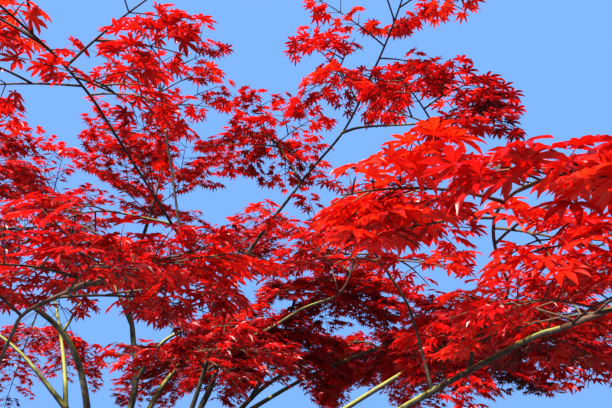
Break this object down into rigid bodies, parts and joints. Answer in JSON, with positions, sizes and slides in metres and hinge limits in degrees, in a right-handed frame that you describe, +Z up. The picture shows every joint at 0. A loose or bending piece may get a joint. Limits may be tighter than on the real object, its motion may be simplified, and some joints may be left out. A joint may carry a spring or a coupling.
{
  "type": "japanese maple tree",
  "caption": "Whole Japanese maple in red spring leaf: slender stems fan out of a short flared trunk and carry a wide, low, open dome of foliage.",
  "frame": {"origin": "middle of the flat cut under the trunk, at ground level", "axes": "+Z up the trunk; -Y towards the side that the picture was taken from"},
  "size_m": [5.4513, 5.5063, 3.6679],
  "materials": {
    "bark": "matt, finely fissured bark, with a thin green film of algae",
    "leaves": "thin, soft-sheened red leaf"
  },
  "bodies": {
    "root": {"trunk": "bark", "middle_stem": "bark", "right_leader": "bark", "left_leader": "bark", "low_right_bough": "bark", "left_stem": "bark", "front_left_stem": "bark", "back_left_stem": "bark", "back_stem": "bark", "back_right_stem": "bark", "left_leader_riser": "bark", "left_leader_side": "bark", "left_leader_low": "bark", "right_leader_left": "bark", "right_leader_riser": "bark", "right_leader_side": "bark", "right_leader_low": "bark", "low_right_near": "bark", "low_right_riser": "bark", "low_right_side": "bark", "middle_left": "bark", "middle_right": "bark", "back_left_side": "bark", "back_left_riser": "bark", "back_riser": "bark", "back_right_side": "bark", "back_right_riser": "bark", "front_left_near": "bark", "front_left_riser": "bark", "left_stem_side": "bark", "middle_stem_leaves": "leaves", "right_leader_leaves": "leaves", "left_leader_leaves": "leaves", "low_right_bough_leaves": "leaves", "left_stem_leaves": "leaves", "front_left_stem_leaves": "leaves", "back_left_stem_leaves": "leaves", "back_stem_leaves": "leaves", "back_right_stem_leaves": "leaves", "left_leader_riser_leaves": "leaves", "left_leader_side_leaves": "leaves", "left_leader_low_leaves": "leaves", "right_leader_left_leaves": "leaves", "right_leader_riser_leaves": "leaves", "right_leader_side_leaves": "leaves", "right_leader_low_leaves": "leaves", "low_right_near_leaves": "leaves", "low_right_riser_leaves": "leaves", "low_right_side_leaves": "leaves", "middle_left_leaves": "leaves", "middle_right_leaves": "leaves", "back_left_side_leaves": "leaves", "back_left_riser_leaves": "leaves", "back_riser_leaves": "leaves", "back_right_side_leaves": "leaves", "back_right_riser_leaves": "leaves", "front_left_near_leaves": "leaves", "front_left_riser_leaves": "leaves", "left_stem_side_leaves": "leaves"}
  },
  "joints": []
}
